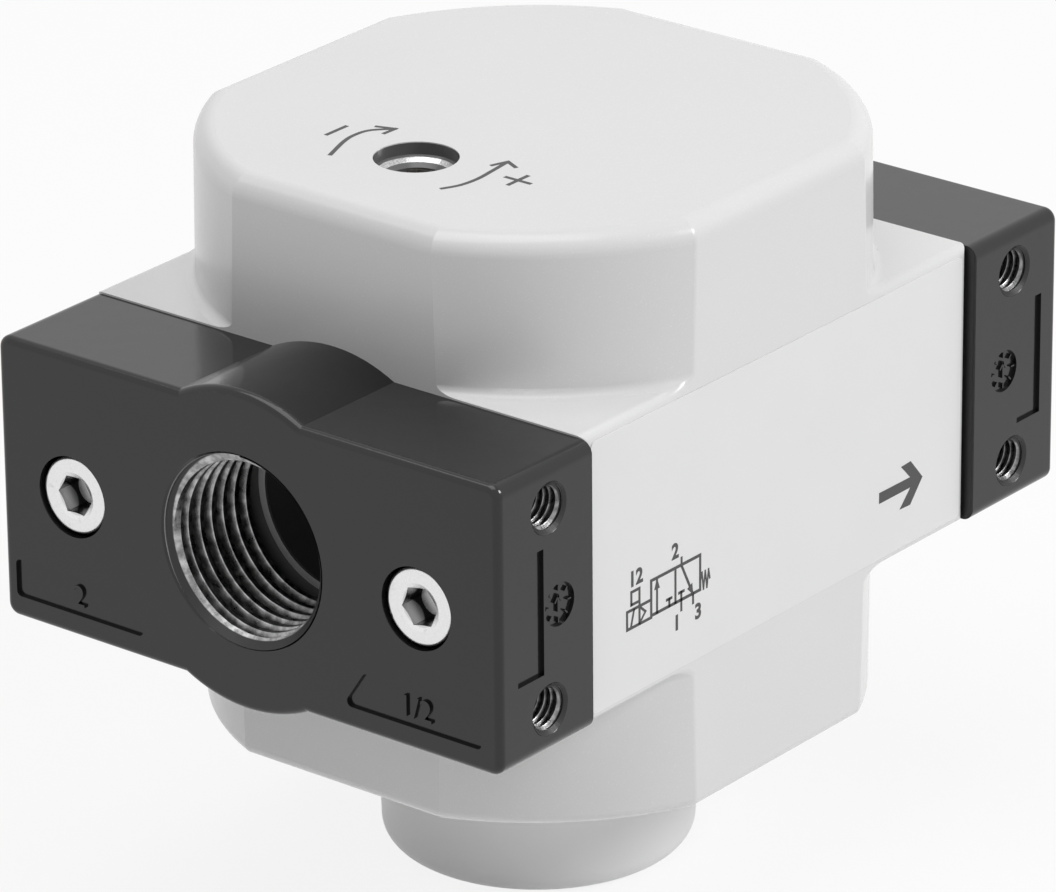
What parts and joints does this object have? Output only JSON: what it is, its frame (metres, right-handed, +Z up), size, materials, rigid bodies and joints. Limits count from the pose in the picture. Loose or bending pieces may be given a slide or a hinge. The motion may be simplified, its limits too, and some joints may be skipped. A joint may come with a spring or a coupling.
{
  "type": "soft-start valve",
  "caption": "In-line soft-start valve for compressed air: cast body with a faceted turret, black threaded port plates, adjusting screw in the top.",
  "frame": {"origin": "centre of the bottom cap's foot, under the column's axis", "axes": "+X along the flow from inlet to outlet, +Z up towards the adjusting hole, the printed film faces -Y"},
  "size_m": [0.096, 0.0663, 0.0828],
  "materials": {
    "body_paint": "light grey paint with a fine sparkle over die-cast metal",
    "black_paint": "black paint, half gloss, over die-cast metal",
    "zinc_plate": "bright zinc plate",
    "black_rubber": "moulded nitrile rubber",
    "cap_grey": "smooth moulded grey plastic",
    "label_film": "thin light grey printed film",
    "turned_brass": "turned",
    "bearing_plastic": "plain white bearing plastic",
    "turned_aluminium": "turned",
    "sintered_bronze": "sintered",
    "spring_steel": "drawn wire",
    "stainless_steel": "ground"
  },
  "bodies": {
    "body": {"housing": "body_paint", "inlet_plate": "black_paint", "outlet_plate": "black_paint", "inlet_plate_screws": "zinc_plate", "outlet_plate_screws": "zinc_plate", "inlet_plate_seal": "black_rubber", "outlet_plate_seal": "black_rubber", "bottom_cap": "cap_grey", "bottom_cap_seal": "black_rubber", "side_label": "label_film", "seat_ring": "turned_brass", "stem_guide_bush": "bearing_plastic", "guide_insert": "turned_aluminium", "guide_insert_seal": "black_rubber", "breather_filter": "sintered_bronze", "return_spring": "spring_steel", "throttle_retaining_ring": "spring_steel"},
    "poppet": {"valve_stem": "stainless_steel", "poppet_disc": "turned_aluminium", "poppet_seal": "black_rubber", "piston": "turned_aluminium", "piston_seal": "black_rubber", "stem_nut": "zinc_plate"},
    "throttle_ring": {"throttle_seal": "black_rubber"},
    "throttle_needle": {"throttle_screw": "turned_brass"}
  },
  "joints": [
    {"name": "poppet_slide", "type": "slide", "parent": "body", "child": "poppet", "axis": [0, 0, 1], "range_m": [-0.005, 0], "stiffness_N_per_m": 500, "springref_m": 0.005, "deforming": ["return_spring"]},
    {"name": "throttle_rise", "type": "slide", "parent": "body", "child": "throttle_ring", "axis": [0, 0, 1], "range_m": [-0.0015, 0.0015]},
    {"name": "throttle_turn", "type": "hinge", "parent": "throttle_ring", "child": "throttle_needle", "pos_m": [-0.01715, 0.0017, 0.0708], "axis": [0, 0, 1], "range_deg": [-1080, 1080]}
  ],
  "couplings": [
    {"joint": "throttle_turn", "follows": "throttle_rise", "rad_per_m": 12566}
  ]
}
